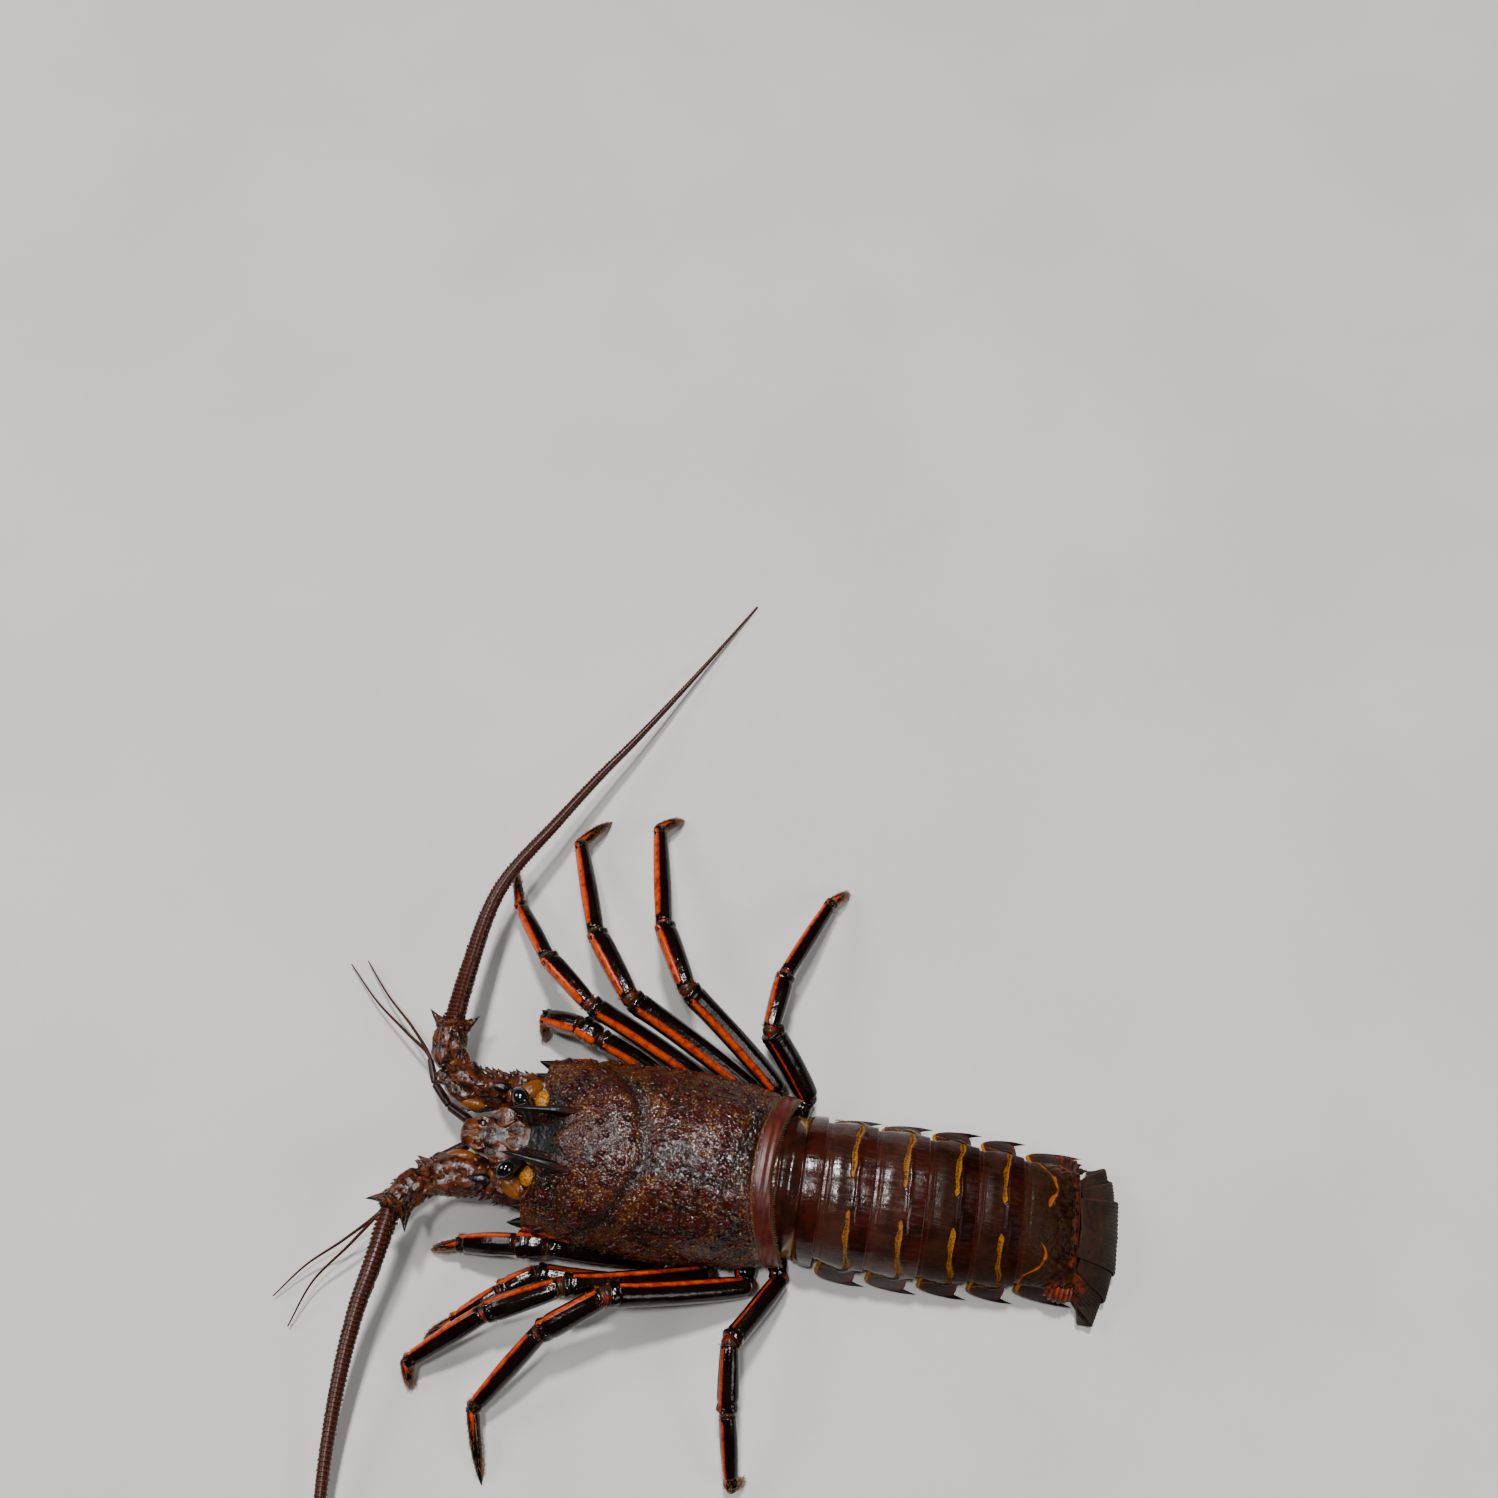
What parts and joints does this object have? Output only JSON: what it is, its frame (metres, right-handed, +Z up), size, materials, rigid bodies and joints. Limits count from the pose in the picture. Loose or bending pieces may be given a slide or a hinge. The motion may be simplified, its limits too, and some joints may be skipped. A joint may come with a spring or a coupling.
{
  "type": "spiny lobster model",
  "caption": "Life-size still model of a spiny lobster lying on its belly, with spread legs, long whip feelers and the tail fan folded under.",
  "frame": {"origin": "on the floor under the middle of the carapace, at the centre of the flat breast plate", "axes": "+Z up, -Y towards the head, +Y towards the tail, +X the animal's left side"},
  "size_m": [0.5923, 0.3612, 0.06],
  "materials": {
    "carapace_shell": "wet, granular shell mottled maroon and tan, with dark red raised spines",
    "tail_shell": "smooth wet maroon-black shell with yellow-tan bristle grooves",
    "tail_fan": "leathery grey-brown blades with fine ribs and a bristly edge",
    "leg_shell": "glossy near-black shell with orange-red stripes along each leg",
    "feeler_shell": "reddish-brown slightly translucent shell with dark spines",
    "whip": "dark brown ringed feeler, rough with tiny spinules",
    "belly_shell": "pale brown breast plate, satin",
    "eye": "glossy black eye"
  },
  "bodies": {
    "root": {"carapace": "carapace_shell", "sternum": "belly_shell", "head": "feeler_shell", "eye_left": "eye", "eye_right": "eye", "maxilliped_left": "leg_shell", "maxilliped_right": "leg_shell", "antenna_left_base": "feeler_shell", "antenna_left_middle": "feeler_shell", "antenna_left_end": "feeler_shell", "antenna_left_whip_inner": "whip", "antenna_left_whip_outer": "whip", "antenna_right_base": "feeler_shell", "antenna_right_middle": "feeler_shell", "antenna_right_end": "feeler_shell", "antenna_right_whip_inner": "whip", "antenna_right_whip_outer": "whip", "antennule_left": "whip", "antennule_right": "whip", "abdomen_1": "tail_shell", "abdomen_2": "tail_shell", "abdomen_3": "tail_shell", "abdomen_4": "tail_shell", "abdomen_5": "tail_shell", "abdomen_6": "tail_shell", "telson": "tail_fan", "uropod_inner_left": "tail_fan", "uropod_inner_right": "tail_fan", "uropod_outer_left": "tail_fan", "uropod_outer_right": "tail_fan", "leg_left_1_upper": "leg_shell", "leg_left_1_lower": "leg_shell", "leg_left_2_upper": "leg_shell", "leg_left_2_lower": "leg_shell", "leg_left_3_upper": "leg_shell", "leg_left_3_lower": "leg_shell", "leg_left_4_upper": "leg_shell", "leg_left_4_lower": "leg_shell", "leg_left_5_upper": "leg_shell", "leg_left_5_lower": "leg_shell", "leg_right_1_upper": "leg_shell", "leg_right_1_lower": "leg_shell", "leg_right_2_upper": "leg_shell", "leg_right_2_lower": "leg_shell", "leg_right_3_upper": "leg_shell", "leg_right_3_lower": "leg_shell", "leg_right_4_upper": "leg_shell", "leg_right_4_lower": "leg_shell", "leg_right_5_upper": "leg_shell", "leg_right_5_lower": "leg_shell"}
  },
  "joints": []
}
